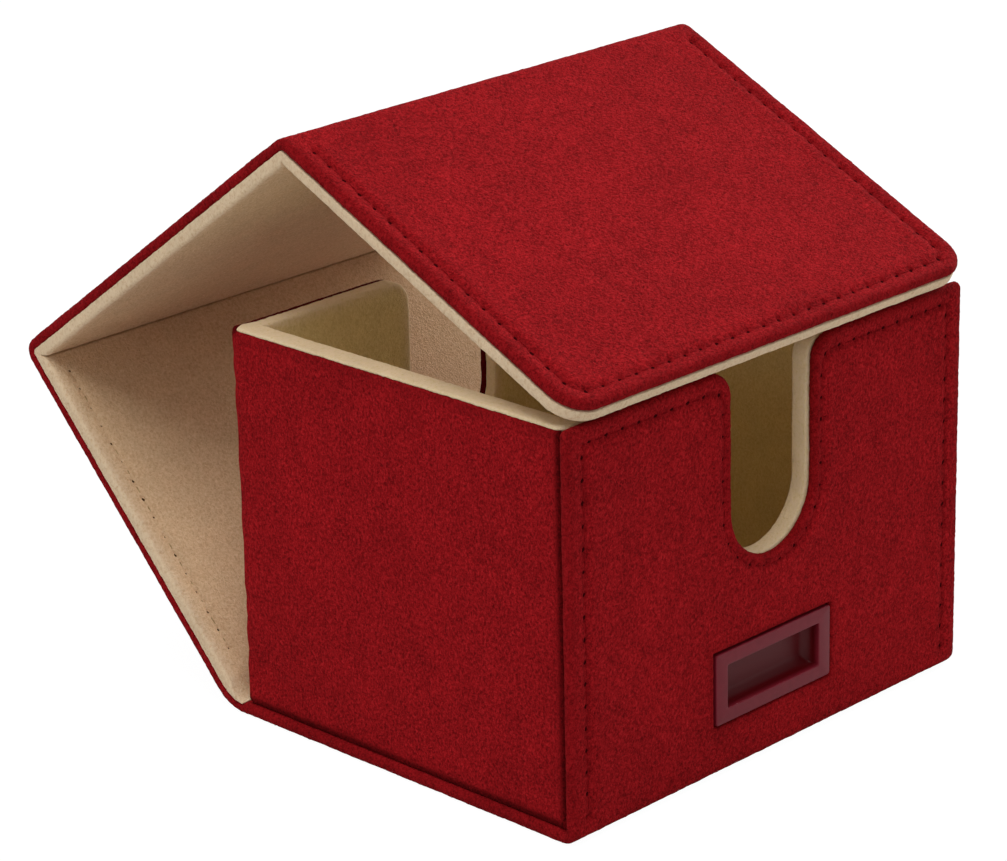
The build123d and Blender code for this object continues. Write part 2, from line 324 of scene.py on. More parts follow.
# distances from a panel's edge at which its mesh has lines of points, and the spacing beyond
FINE = (1.6, 2.2, 2.8, 3.3, 3.8, 4.2, 4.6, 5.1, 5.7, 6.4, 7.4)
COARSE = 2.2
CLEAR_OF_BORDER = 0.525 * STEP
RINGS = 5  # round an edge, on each face
WOBBLE = 0.075


def rounded_part(loops, vectors):
    """The outline points that aren't on a cut."""
    return np.concatenate([p[~both] for p, (_, both) in zip(loops, vectors)])


def triangulated(loops, vectors, bounds, deepest, rows):
    """The flat part of a panel's face, inside its rounded edge: points and triangles, with the
    points of the inner outlines first. It has points along the rows, for a fold to bend at."""
    inner_loops = [p + v * deepest for p, (v, _) in zip(loops, vectors)]
    rounded = rounded_part(loops, vectors)
    everything = np.concatenate(loops)
    low, high = everything.min(0), everything.max(0)
    fixed = [np.zeros((0, 2))]
    for row in rows:
        c = np.arange(low[0] + deepest + 0.6, high[0] - deepest - 0.4, 0.8)
        fixed.append(np.stack([c, np.full(len(c), row)], 1))
    fixed = np.concatenate(fixed)
    points = []
    for d in FINE:
        if d < deepest + 0.3:
            continue
        for p, (v, both) in zip(loops, vectors):
            unit = v / np.maximum(np.hypot(*v.T), 1e-9)[:, None]
            q = (p + unit * d)[~both]
            points.append(q[distance_to(q, rounded) > d - 0.06])
    gx = np.arange(low[0] + COARSE / 2, high[0], COARSE)
    gy = np.arange(low[1] + COARSE / 2, high[1], COARSE)
    grid = np.stack(np.meshgrid(gx, gy), -1).reshape(-1, 2)
    grid += 0.25 * COARSE * np.sin(grid[:, ::-1] * 2.3)
    points.append(grid[distance_to(grid, rounded) > max(*FINE, deepest) + 0.5 * COARSE])
    free = np.concatenate(points)
    if len(fixed):
        free = free[distance_to(free, fixed) > 0.33]
    free = thin_out(np.concatenate([fixed, free]), 0.3)
    border = np.concatenate(inner_loops)
    free = free[inside(free, bounds)]
    free = free[distance_to(free, border) > CLEAR_OF_BORDER]
    flat = np.concatenate([border, free])
    links, start = [], 0
    for p in inner_loops:
        n = len(p)
        links += [(start + i, start + (i + 1) % n) for i in range(n)]
        start += n
    got = delaunay_2d_cdt([Vector(p) for p in flat], links, [], 0, 1e-6, True)
    out_points, triangles, origin = got[0], got[2], got[3]
    index, extra = [], []
    for i, source in enumerate(origin):
        if source:
            index.append(source[0])
        else:
            index.append(len(flat) + len(extra))
            extra.append(tuple(out_points[i]))
    if extra:
        flat = np.concatenate([flat, np.array(extra)])
    centres = np.array([[sum(out_points[i][k] for i in t) / 3 for k in (0, 1)] for t in triangles])
    keep = inside(centres, bounds)
    return flat, [tuple(index[i] for i in t) for t, k in zip(triangles, keep) if k]


def plate(
    name,
    loops,
    faces,
    place,
    edges=((0.95, 1.0), (0.95, 1.0)),
    cut=nowhere,
    rows=(),
    dents=(None, None),
    extra_wear_and_shade=None,
    seam_wear=1.0,
    joined_cuts=False,
):
    """A closed panel: loops[0] is its outline and the rest are holes, faces the heights of its
    outer and inner face, and edges each one's (inset, share of the half thickness) rounding.
    On a cut the panel isn't rounded, because another one goes on from there. A point attribute,
    which the materials read, is 1 at an edge and in a seam, and an extra mask adds to it, which can
    be painted shade: on the tray it darkens the grooves."""
    deepest = max(e[0] for e in edges)
    bounds = [turned(p, i == 0) for i, p in enumerate(loops)]
    bounds = [p + inset_vectors(p, cut)[0] * deepest for p in bounds]
    loops = [turned(divide(p), i == 0) for i, p in enumerate(loops)]
    vectors = [inset_vectors(p, cut) for p in loops]
    rounded = rounded_part(loops, vectors)
    flat, triangles = triangulated(loops, vectors, bounds, deepest, rows)
    all_c, all_s, all_m, polygons, total = [], [], [], [], 0
    rim_start = []
    for face in (0, 1):
        inset, share = edges[face]
        ring_start = []
        for k in range(RINGS):
            angle = math.pi / 2 * k / RINGS
            starts = []
            for p, (v, both) in zip(loops, vectors):
                ring = p + v * inset * (1 - math.cos(angle))
                part = np.where(both, 1.0, 1 - share * (1 - math.sin(angle)))
                starts.append(total)
                all_c.append(ring[:, 0])
                all_s.append(ring[:, 1])
                all_m.append(part)
                total += len(ring)
            ring_start.append(starts)
        starts, at = [], total
        for p in loops:
            starts.append(at)
            at += len(p)
        ring_start.append(starts)
        shift = np.zeros_like(flat)
        if inset < deepest:  # this face's rounding ends nearer to the outline
            start = 0
            for p, (v, _) in zip(loops, vectors):
                shift[start : start + len(p)] = -v * (deepest - inset)
                start += len(p)
        all_c.append(flat[:, 0] + shift[:, 0])
        all_s.append(flat[:, 1] + shift[:, 1])
        all_m.append(np.ones(len(flat)))
        polygons += [tuple(total + i for i in t) for t in triangles]
        total += len(flat)
        for lower, upper in zip(ring_start, ring_start[1:]):
            for p, a, b in zip(loops, lower, upper):
                n = len(p)
                polygons += [(a + i, a + (i + 1) % n, b + (i + 1) % n, b + i) for i in range(n)]
        rim_start.append(ring_start[0])
    face_of = np.zeros(total, int)
    face_of[total // 2 :] = 1
    for p, a, b in zip(loops, *rim_start):
        n = len(p)
        on = cut(p) & np.roll(cut(p), -1) & joined_cuts
        polygons += [
            (a + i, a + (i + 1) % n, b + (i + 1) % n, b + i) for i in range(n) if not on[i]
        ]
    c, s, part = (np.concatenate(x) for x in (all_c, all_s, all_m))
    outer = faces[0](c, s) if callable(faces[0]) else np.full(total, faces[0])
    inner = faces[1](c, s) if callable(faces[1]) else np.full(total, faces[1])
    middle = (outer + inner) / 2
    m = middle + (np.where(face_of == 0, outer, inner) - middle) * part
    wear_and_shade = np.exp(-((distance_to(np.stack([c, s], 1), rounded) / 1.7) ** 2))
    if extra_wear_and_shade:
        wear_and_shade += extra_wear_and_shade(c, s)
    for face in (0, 1):
        if dents[face]:
            mine = face_of == face
            depth = dents[face](c[mine], s[mine]) * part[mine] ** 2
            m[mine] += depth if face == 0 else -depth
            wear_and_shade[mine] = np.maximum(wear_and_shade[mine], seam_wear * np.clip(depth / 0.3, 0, 1))
    return solid(name, place(c, s, m), polygons, WOBBLE, wear_and_shade=wear_and_shade)


noise.seed_set(1)  # without a seed the unevenness is another one on every run


def roughen(xyz, amount):
    """A little unevenness, the same for every piece that shares a place."""
    moved = xyz.copy()
    for scale, share in ((1.7, 1.1), (0.75, 0.55), (0.23, 0.8)):
        field = [noise.noise_vector(Vector(p * scale)) for p in xyz]
        moved += amount * share * np.array(field)
    return moved


def solid(name, xyz, polygons, wobble=0.0, sharp=40.0, wear_and_shade=None):
    """A mesh object, with its doubled points joined and edges over sharp degrees kept."""
    if wobble:
        xyz = roughen(xyz, wobble)
    mesh = bpy.data.meshes.new(name)
    mesh.from_pydata((xyz * MM).tolist(), [], polygons)
    if wear_and_shade is not None:
        mesh.attributes.new("wear_and_shade", "FLOAT", "POINT").data.foreach_set("value", wear_and_shade)
    bm = bmesh.new()
    bm.from_mesh(mesh)
    bmesh.ops.remove_doubles(bm, verts=bm.verts, dist=2e-6)
    bmesh.ops.dissolve_degenerate(bm, edges=bm.edges, dist=1e-7)
    bmesh.ops.recalc_face_normals(bm, faces=bm.faces)
    for f in bm.faces:
        f.smooth = True
    limit = math.radians(sharp)
    for e in bm.edges:
        e.smooth = len(e.link_faces) == 2 and e.calc_face_angle(0) < limit
    bm.to_mesh(mesh)
    bm.free()
    mesh.validate()
    made = bpy.data.objects.new(name, mesh)
    bpy.context.scene.collection.objects.link(made)
    return made


# ---------------------------------------------------------------- seams
class Seam:
    """A sewn line on a flat panel: a shallow valley, with a hole at each stitch."""

    def __init__(self, *lines, pitch=PITCH):
        self.lines = [divide(np.array(x, float), 0.35, closed=False) for x in lines]
        self.holes, self.pairs = [], []
        for line in self.lines:
            run = np.concatenate([[0], np.cumsum(np.hypot(*np.diff(line, axis=0).T))])
            n = max(1, round(run[-1] / pitch))
            at = np.linspace(0, run[-1], n + 1)
            self.holes += [np.array([np.interp(x, run, line[:, k]) for k in (0, 1)]) for x in at]
            for i in range(n):
                x = np.linspace(at[i], at[i + 1], 9)
                self.pairs.append(np.stack([np.interp(x, run, line[:, k]) for k in (0, 1)], 1))
        self.holes = np.array(self.holes)
        self.points = np.concatenate(self.lines)

    def dent(self, valley=0.24, width=0.8, hole=0.55, hole_width=0.5, puff=0.14):
        def depth(c, s):
            p = np.stack([c, s], 1)
            away = distance_to(p, self.points)
            at_hole = np.full(len(p), 99.0)
            close = away < 3
            if close.any():
                at_hole[close] = distance_to(p[close], self.holes)
            return (
                valley * np.exp(-((away / width) ** 2))
                + hole * np.exp(-((at_hole / hole_width) ** 2))
                - puff * np.exp(-(((away - 2.2) / 1.2) ** 2))
            )

        return depth

    def threads(self, name, place, surface, side, radius=0.2, sink=0.45, lift=-0.06, end=0.12):
        """Each stitch is a strand that rises out of one hole and dips into the next."""
        xyz, polygons, around, rings = [], [], 6, 9
        for pair in self.pairs:
            t = np.linspace(end, 1 - end, rings)
            run = np.linspace(0, 1, len(pair))
            middle = np.stack([np.interp(t, run, pair[:, k]) for k in (0, 1)], 1)
            way = pair[-1] - pair[0]
            way = way / np.hypot(*way)
            across = np.array([-way[1], way[0]])
            bow = np.sin(math.pi * np.linspace(0, 1, rings)) ** 0.45
            first = len(xyz)
            for p, b in zip(middle, bow):
                fat = radius * (0.45 + 0.55 * b)
                height = sink * (1 - b) - lift
                for j in range(around):
                    a = 2 * math.pi * j / around
                    q = p + across * fat * math.cos(a)
                    xyz.append((q[0], q[1], surface + side * height + fat * math.sin(a)))
            for k in range(rings - 1):
                for j in range(around):
                    a, b = first + k * around + j, first + k * around + (j + 1) % around
                    polygons.append((a, b, b + around, a + around))
            polygons.append(tuple(first + j for j in range(around)))
            last = first + (rings - 1) * around
            polygons.append(tuple(last + j for j in range(around))[::-1])
        xyz = np.array(xyz)
        return solid(name, place(*xyz.T), polygons, sharp=60)

    def pits(self, name, place, surface, side, depth, radius=0.4, stretch=1.45):
        """Painted shade in each hole: a dark disc lying a little below the face, at the hole's
        mouth.
        """
        xyz, polygons, around = [], [], 8
        spread = self.points
        chance = np.random.default_rng(len(self.holes))
        for hole in self.holes:
            near = np.argsort(((spread - hole) ** 2).sum(1))[:5]
            way = spread[near[-1]] - spread[near[0]]
            way = way / max(np.hypot(*way), 1e-9)
            turn, size, longer = chance.uniform((-0.6, 0.65, 0.8), (0.6, 1.1, 1.25))
            way = way * math.cos(turn) + np.array([-way[1], way[0]]) * math.sin(turn)
            across = np.array([-way[1], way[0]])
            first = len(xyz)
            for level, share in ((0.0, 1.0), (0.12, 0.8)):
                for j in range(around):
                    a = 2 * math.pi * j / around
                    q = hole + share * size * radius * (
                        longer * stretch * way * math.cos(a) + across * math.sin(a)
                    )
                    xyz.append((q[0], q[1], surface + side * (depth + level)))
            for j in range(around):
                a, b = first + j, first + (j + 1) % around
                polygons.append((a, b, b + around, a + around))
            polygons.append(tuple(first + j for j in range(around)))
            polygons.append(tuple(first + around + j for j in range(around))[::-1])
        xyz = np.array(xyz)
        return solid(name, place(*xyz.T), polygons, sharp=30)


def joined(name, *objects):
    """One object made of several, with the first one's material first."""
    bpy.ops.object.select_all(action="DESELECT")
    for o in objects:
        o.select_set(True)
    bpy.context.view_layer.objects.active = objects[0]
    bpy.ops.object.join()
    objects[0].name = name
    objects[0].data.name = name
    return objects[0]


# ---------------------------------------------------------------- materials
def srgb(r, g, b):
    line = lambda v: v / 12.92 if v <= 0.04045 else ((v + 0.055) / 1.055) ** 2.4
    return (line(r / 255), line(g / 255), line(b / 255), 1.0)


class Nodes:
    def __init__(self, name):
        self.material = bpy.data.materials.new(name)
        self.material.use_nodes = True
        self.tree = self.material.node_tree
        self.tree.nodes.clear()
        self.shader = self.new("ShaderNodeBsdfPrincipled")
        out = self.new("ShaderNodeOutputMaterial")
        self.link(self.shader.outputs[0], out.inputs[0])

    def new(self, kind, **values):
        node = self.tree.nodes.new(kind)
        for key, value in values.items():
            setattr(node, key, value)
        return node

    def link(self, a, b):
        self.tree.links.new(a, b)

    def coords(self, stretch=(1, 1, 1)):
        where = self.new("ShaderNodeTexCoord")
        mapping = self.new("ShaderNodeMapping")
        mapping.inputs["Scale"].default_value = [x / MM for x in stretch]
        self.link(where.outputs["Object"], mapping.inputs["Vector"])
        return mapping.outputs[0]

    def noise(self, vector, scale, detail=2.0, rough=0.5, distortion=0.0):
        n = self.new("ShaderNodeTexNoise")
        n.inputs["Scale"].default_value = scale
        n.inputs["Detail"].default_value = detail
        n.inputs["Roughness"].default_value = rough
        n.inputs["Distortion"].default_value = distortion
        self.link(vector, n.inputs["Vector"])
        return n.outputs["Fac"]

    def ramp(self, value, *stops):
        r = self.new("ShaderNodeValToRGB")
        r.color_ramp.elements[0].position = stops[0][0]
        r.color_ramp.elements[0].color = stops[0][1]
        r.color_ramp.elements[1].position = stops[-1][0]
        r.color_ramp.elements[1].color = stops[-1][1]
        for at, colour in stops[1:-1]:
            e = r.color_ramp.elements.new(at)
            e.color = colour
        self.link(value, r.inputs[0])
        return r.outputs[0]

    def mix(self, factor, a, b, blend="MIX"):
        n = self.new("ShaderNodeMix", data_type="RGBA", blend_type=blend)
        for socket, value in ((n.inputs[0], factor), (n.inputs[6], a), (n.inputs[7], b)):
            if isinstance(value, bpy.types.NodeSocket):
                self.link(value, socket)
            else:
                socket.default_value = value
        return n.outputs[2]

    def math(self, how, a, b):
        n = self.new("ShaderNodeMath", operation=how)
        for socket, value in zip(n.inputs, (a, b)):
            if isinstance(value, bpy.types.NodeSocket):
                self.link(value, socket)
            else:
                socket.default_value = value
        return n.outputs[0]

    def bump(self, height, strength, distance, below=None):
        n = self.new("ShaderNodeBump")
        n.inputs["Strength"].default_value = strength
        n.inputs["Distance"].default_value = distance * MM
        self.link(height, n.inputs["Height"])
        if below:
            self.link(below, n.inputs["Normal"])
        return n.outputs[0]

    def set(self, **values):
        for key, value in values.items():
            self.shader.inputs[key.replace("_", " ")].default_value = value


def grey(v):
    return (v, v, v, 1.0)


def suede(name, dark, mid, light, edge, edge_share, mottle, sheen, bump):
    """Short nap: fine flecks where it lies the other way, soft patches, and another tone near the
    edges and the seams, which also goes where a mesh's mask paints shade, as in the tray's grooves."""
    n = Nodes(name)
    at = n.coords((1.0, 1.0, 0.8))
    fine = n.noise(at, 1.9, 2.5, 0.62, 0.6)
    grain = n.noise(at, 4.0, 2.0, 0.55)
    patch = n.noise(at, 0.22, 4.0, 0.66)
    broad = n.noise(at, 0.045, 2.0, 0.5)
    wear_and_shade = n.new("ShaderNodeAttribute", attribute_name="wear_and_shade").outputs["Fac"]
    base = n.ramp(fine, (0.34, dark), (0.50, mid), (0.68, light))
    base = n.mix(0.3, base, n.ramp(grain, (0.38, dark), (0.62, light)))
    rim = n.math("MULTIPLY", wear_and_shade, n.math("ADD", n.math("MULTIPLY", fine, 1.6), -0.25))
    # The edge tone goes where the mesh's mask is: at edges and seams, and as painted shade in the
    # tray's grooves.
    base = n.mix(n.math("MULTIPLY", rim, edge_share), base, edge)
    shade = n.ramp(patch, (0.3, grey(1 - mottle)), (0.7, grey(1.0 + mottle * 0.4)))
    base = n.mix(1.0, base, shade, "MULTIPLY")
    slow = n.ramp(broad, (0.3, grey(1 - mottle * 0.6)), (0.7, grey(1.0)))
    base = n.mix(1.0, base, slow, "MULTIPLY")
    n.link(base, n.shader.inputs["Base Color"])
    nap = n.math("ADD", n.math("MULTIPLY", fine, 0.7), n.math("MULTIPLY", grain, 0.45))
    nap = n.math("ADD", nap, n.math("MULTIPLY", patch, 0.5))
    n.link(n.bump(nap, *bump), n.shader.inputs["Normal"])
    n.set(Roughness=0.95, Specular_IOR_Level=0.03, Sheen_Weight=sheen[0], Sheen_Roughness=0.45)
    n.shader.inputs["Sheen Tint"].default_value = sheen[1]
    return n.material


RED_SUEDE = suede(
    "cover_suede",
    srgb(106, 10, 14),
    srgb(157, 20, 25),
    srgb(199, 36, 42),
    srgb(84, 6, 9),
    0.45,
    0.17,
    (0.02, srgb(235, 110, 110)),
    (1.0, 0.42),
)
LID_SUEDE = suede(
    "lining_suede",
    srgb(204, 166, 126),
    srgb(223, 189, 148),
    srgb(235, 206, 168),
    srgb(236, 211, 177),
    1.4,
    0.06,
    (0.06, srgb(255, 240, 215)),
    (0.8, 0.34),
)
# Yellower than the lid's lining: partly the cream's own colour and partly painted shade, for the
# olive look inside the shaded tray.
SHADE_TINTED_CREAM_SUEDE = suede(
    "tray_lining_suede_shade_tinted",
    srgb(218, 192, 134),
    srgb(231, 207, 149),
    srgb(240, 219, 165),
    srgb(236, 211, 177),
    1.4,
    0.05,
    (0.06, srgb(255, 240, 215)),
    (0.7, 0.3),
)


def thread_material(name, colour, dark):
    n = Nodes(name)
    at = n.coords()
    ply = n.noise(at, 4.0, 2.0, 0.6)
    n.link(n.ramp(ply, (0.35, dark), (0.65, colour)), n.shader.inputs["Base Color"])
    n.link(n.bump(ply, 0.5, 0.1), n.shader.inputs["Normal"])
    n.set(Roughness=0.9, Specular_IOR_Level=0.03)
    return n.material


THREAD = thread_material("thread", srgb(140, 14, 20), srgb(98, 7, 12))
CREAM_THREAD = thread_material("thread_cream", srgb(196, 170, 124), srgb(150, 120, 80))
# Dark colours for the discs in the stitch holes: painted shade for the inside of each hole.
HOLE_SHADE = thread_material("stitch_hole", srgb(66, 4, 8), srgb(40, 2, 5))
CREAM_HOLE_SHADE = thread_material("stitch_hole_cream", srgb(96, 70, 40), srgb(60, 42, 22))


def plastic_material():
    n = Nodes("catch_plastic")
    at = n.coords()
    cloud = n.noise(at, 0.5, 3.0, 0.6)
    grain = n.noise(at, 7.0, 2.0, 0.6)
    base = n.ramp(cloud, (0.3, srgb(112, 22, 36)), (0.7, srgb(122, 27, 41)))
    # Painted shade: the plastic turns darker deeper in the pocket.
    deep = n.new("ShaderNodeAttribute", attribute_name="wear_and_shade").outputs["Fac"]
    base = n.mix(deep, base, srgb(90, 4, 12))
    n.link(base, n.shader.inputs["Base Color"])
    rough = n.ramp(grain, (0.3, grey(0.33)), (0.7, grey(0.43)))
    n.link(rough, n.shader.inputs["Roughness"])
    n.link(n.bump(grain, 0.12, 0.05), n.shader.inputs["Normal"])
    n.set(Specular_IOR_Level=0.22)
    return n.material


def board_material():
    n = Nodes("board")
    at = n.coords()
    fibre = n.noise(at, 1.2, 4.0, 0.7, 0.6)
    base = n.ramp(fibre, (0.3, srgb(120, 112, 100)), (0.7, srgb(150, 142, 128)))
    n.link(base, n.shader.inputs["Base Color"])
    n.link(n.bump(fibre, 0.3, 0.1), n.shader.inputs["Normal"])
    n.set(Roughness=0.9)
    return n.material


def steel_material():
    n = Nodes("steel")
    at = n.coords((0.15, 1.0, 4.0))
    brush = n.noise(at, 2.0, 4.0, 0.7)
    n.link(n.ramp(brush, (0.3, grey(0.5)), (0.7, grey(0.62))), n.shader.inputs["Base Color"])
    n.link(n.ramp(brush, (0.3, grey(0.3)), (0.7, grey(0.42))), n.shader.inputs["Roughness"])
    n.set(Metallic=1.0)
    return n.material


PLASTIC, BOARD, STEEL = plastic_material(), board_material(), steel_material()


def finish_piece(piece, material, slot, *replaced):
    """The piece's material and the frame's nodes that it stands for. The slot is not used."""
    if material:
        piece.data.materials.clear()
        piece.data.materials.append(material)
    if replaced:
        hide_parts(*replaced)
    return piece


# ---------------------------------------------------------------- the cover strip
def smooth_step(x, a, b):
    t = np.clip((x - a) / (b - a), 0, 1)
    return t * t * (3 - 2 * t)


BASE_TOP = TRAY_FOOT - 0.75 - COVER / 2  # the upper face of the base, above the strip's middle


def cover_inner(c, s):
    """The base is thicker than the rest, because it has a board in it."""
    base = smooth_step(s, S_FOOT - 1.5, S_FOOT + 2.5) - smooth_step(s, S_HINGE - 7.5, S_HINGE - 3.0)
    return COVER / 2 + (BASE_TOP - COVER / 2) * base


CUT_BASE = S_HINGE - 12.0
CUT_TOP = S_TOP - 9.0
CUT_FLAP = S_FLAP - 9.0
seam_x = COVER_HALF - SIDE_SEAM_INSET


def on_cut(*levels):
    return lambda p: np.any([np.abs(p[:, 1] - level) < 1e-6 for level in levels], axis=0)


def fold_rows(at, reach=5.0, n=23):
    return [at + x for x in np.linspace(-reach, reach, n)]


def offset_line(loop, d):
    """The outline moved in by d, in order, without the stretches that corners swallow."""
    loop = turned(divide(loop, 0.25), True)
    v, _ = inset_vectors(loop, nowhere)
    unit = v / np.hypot(*v.T)[:, None]
    moved = loop + unit * d
    return moved[distance_to(moved, loop) > d - 0.02]


notch_edge = notched_edge(COVER_HALF, RIM, 1.3)
front_outline = polyline(
    np.stack([notch_edge[:, 0], RIM - notch_edge[:, 1]], 1),
    (COVER_HALF, S_FOOT),
    (COVER_HALF, CUT_BASE),
    (-COVER_HALF, CUT_BASE),
    (-COVER_HALF, S_FOOT),
)
seam_edge = notched_edge(COVER_HALF, RIM + 0.9, 1.3, -2.2)
seam_source = polyline(
    np.stack([seam_edge[:, 0], RIM - seam_edge[:, 1]], 1),
    (COVER_HALF, S_FOOT + 30),
    (-COVER_HALF, S_FOOT + 30),
)
ring = offset_line(seam_source, SEAM_INSET)
ring = ring[ring[:, 1] < S_FOOT - 3.5]
start = np.argmax(np.hypot(*(np.roll(ring, 1, axis=0) - ring).T))
front_seam = Seam(np.roll(ring, -start, axis=0))

plate_low, plate_high = box_mm("catch_cup")
window_gap = 0.22
window = rectangle(
    plate_low[0] - window_gap,
    plate_high[0] + window_gap,
    RIM - plate_high[2] - window_gap,
    RIM - plate_low[2] + window_gap,
)
front_cover = plate(
    "front_cover",
    [front_outline, window],
    (-COVER / 2, cover_inner),
    lid_place,
    cut=on_cut(CUT_BASE),
    rows=fold_rows(S_FOOT, 4.3, 19),
    dents=(front_seam.dent(), None),
)
finish_piece(front_cover, RED_SUEDE, "cover_suede", "wrap_cover", "base_board")
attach(front_cover, "box")


def side_lines(s0, s1, x=seam_x):
    return [[(-x, s0), (-x, s1)], [(x, s0), (x, s1)]]


back_seam = Seam(*side_lines(S_HINGE + 9, S_TOP - 6))
top_seam = Seam(*side_lines(S_TOP + 6, S_FLAP - 6))


def flap_line(x, start, end, corner=3.2):
    """Down one side of the flap, along its end and up the other side."""
    return polyline(
        (-x, start),
        arc(-x + corner, end - corner, corner, 180, 90),
        arc(x - corner, end - corner, corner, 90, 0),
        (x, start),
    )


flap_seam = Seam(flap_line(seam_x, S_FLAP + 5, S_END - 3.3))


def plus(*parts):
    return lambda c, s: sum(p(c, s) for p in parts)


def flap_outline(half, end, corner):
    return polyline(
        (-half, CUT_FLAP),
        (half, CUT_FLAP),
        (half, S_FLAP),
        arc(half - corner, end - corner, corner, 0, 90),
        arc(-half + corner, end - corner, corner, 90, 180),
        (-half, S_FLAP),
    )


cover_back = plate(
    "cover_back",
    [rectangle(-COVER_HALF, COVER_HALF, CUT_BASE, CUT_TOP, [S_HINGE])],
    (-COVER / 2, cover_inner),
    lid_place,
    cut=on_cut(CUT_BASE, CUT_TOP),
    rows=fold_rows(S_HINGE, 6.2, 15),
    dents=(back_seam.dent(), None),
)
finish_piece(cover_back, RED_SUEDE, "cover_suede", "back_panel_cover")
cover_top = plate(
    "cover_top",
    [rectangle(-COVER_HALF, COVER_HALF, CUT_TOP, CUT_FLAP, [S_TOP])],
    (-COVER / 2, COVER / 2),
    lid_place,
    cut=on_cut(CUT_TOP, CUT_FLAP),
    rows=fold_rows(S_TOP),
    dents=(plus(back_seam.dent(), top_seam.dent()), None),
)
finish_piece(cover_top, RED_SUEDE, "cover_suede", "top_panel_cover", "top_fold_strip")
cover_flap = plate(
    "cover_flap",
    [flap_outline(COVER_HALF, S_END, FLAP_CORNER)],
    (-COVER / 2, COVER / 2),
    lid_place,
    cut=on_cut(CUT_FLAP),
    rows=fold_rows(S_FLAP),
    dents=(plus(top_seam.dent(), flap_seam.dent()), None),
)
finish_piece(cover_flap, RED_SUEDE, "cover_suede", "flap_cover", "flap_fold_strip")

# ---------------------------------------------------------------- the lid's lining
LINING_HALF = COVER_HALF - LINING_INSET
lining_x = LINING_HALF - SIDE_SEAM_INSET


def crease(at, depth=0.9, width=0.3):
    return lambda c, s: depth * np.exp(-(((s - at) / width) ** 2))


def lining_inner(c, s):
    """Tapers away to nothing behind the tray's foot."""
    thin = COVER / 2 + 0.25
    return thin + (INNER - thin) * smooth_step(s, S_HINGE - 3.4, S_HINGE + 3.2)


back_inner_seam = Seam(*side_lines(S_HINGE + 9, S_TOP - 8, lining_x))
flap_inner_seam = Seam(flap_line(lining_x, S_FLAP + 8, S_END - LINING_INSET - SIDE_SEAM_INSET))
soft = dict(valley=0.2, width=0.5, hole=0.28, hole_width=0.32, puff=0.05)
lining_edges = ((0.35, 0.2), (0.85, 0.62))
lining_back = plate(
    "lining_back",
    [rectangle(-LINING_HALF, LINING_HALF, S_HINGE - 3.3, CUT_TOP)],
    (COVER / 2, lining_inner),
    lid_place,
    edges=lining_edges,
    cut=on_cut(CUT_TOP),
    rows=[S_HINGE + x for x in np.arange(-2.1, 6.6, 0.7)],
    dents=(None, back_inner_seam.dent(**soft)),
    seam_wear=0.0,
)
finish_piece(lining_back, LID_SUEDE, "lining_suede", "back_panel_board", "back_panel_lining")
lining_top = plate(
    "lining_top",
    [rectangle(-LINING_HALF, LINING_HALF, CUT_TOP, CUT_FLAP, [S_TOP])],
    (COVER / 2, INNER),
    lid_place,
    edges=lining_edges,
    cut=on_cut(CUT_TOP, CUT_FLAP),
    rows=fold_rows(S_TOP),
    dents=(None, plus(back_inner_seam.dent(**soft), crease(S_TOP, 0.9, 0.6))),
    seam_wear=0.0,
)
finish_piece(lining_top, LID_SUEDE, "lining_suede", "top_panel_board", "top_panel_lining")
lining_flap = plate(
    "lining_flap",
    [flap_outline(LINING_HALF, S_END - LINING_INSET, FLAP_CORNER - LINING_INSET)],
    (COVER / 2, INNER),
    lid_place,
    edges=lining_edges,
    cut=on_cut(CUT_FLAP),
    rows=fold_rows(S_FLAP),
    dents=(None, plus(flap_inner_seam.dent(**soft), crease(S_FLAP, 0.8, 0.35))),
    seam_wear=0.0,
)
finish_piece(lining_flap, LID_SUEDE, "lining_suede", "flap_board", "flap_lining")

# ---------------------------------------------------------------- the tray
TRAY_SILL = TRAY_FOOT - 0.65  # the foot of the tray's walls, just above the base
THICK_BACK = 0.9  # how much further in the red goes across the back
LIP = 0.65  # the lining wraps over the top of the walls, above the red
tray_middle = tray.at[1] + tray_x
tray_notch = notched_edge(tray_x, RIM - 0.2, 0)


def across_back(path, s, first):
    return smooth_step(s, path.at[first] + 0.5, path.at[first] + 2.5) - smooth_step(
        s, path.at[first + 1] - 2.5, path.at[first + 1] - 0.5
    )


def tray_outer(c, s):
    return -SKIN / 2 - 0.05 + 0.2 * across_back(tray, s, 1)


def tray_inner(c, s):
    """The red is thicker across the back."""
    return SKIN / 2 + THICK_BACK * across_back(tray, s, 1)


back_edge = np.stack([tray_notch[:, 1], tray_middle + tray_notch[:, 0]], 1)
back_rim = divide(back_edge, 0.3, closed=False)


def tray_raw_edge_and_groove_shade(c, s):
    """Dark along the back's raw edge, and painted shade in the grooves beside the front and the
    base.
    """
    raw = 1 - smooth_step(distance_to(np.stack([c, s], 1), back_rim), 1.2, 1.9)
    groove = np.minimum(np.minimum(s, tray.at[-1] - s), c - TRAY_SILL)
    return 4.0 * raw + 2.6 * (1 - smooth_step(groove, 0.7, 1.9))


tray_cover = plate(
    "tray_cover",
    [
        polyline(
            (TRAY_SILL, tray.at[-1] - 0.45),
            (TRAY_SILL, tray.at[2]),
            (TRAY_SILL, tray.at[1]),
            (TRAY_SILL, 0.45),
            (RIM - LIP, 0.45),
            (RIM - LIP, tray.at[1] - 1.4),
            back_edge,
            (RIM - LIP, tray.at[2] + 1.4),
            (RIM - LIP, tray.at[-1] - 0.45),
        )
    ],
    (tray_outer, tray_inner),
    tray_place,
    edges=((1.15, 1.0), (0.15, 0.6)),
    extra_wear_and_shade=tray_raw_edge_and_groove_shade,
)
finish_piece(tray_cover, RED_SUEDE, "cover_suede", "tray_skin")
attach(tray_cover, "box")

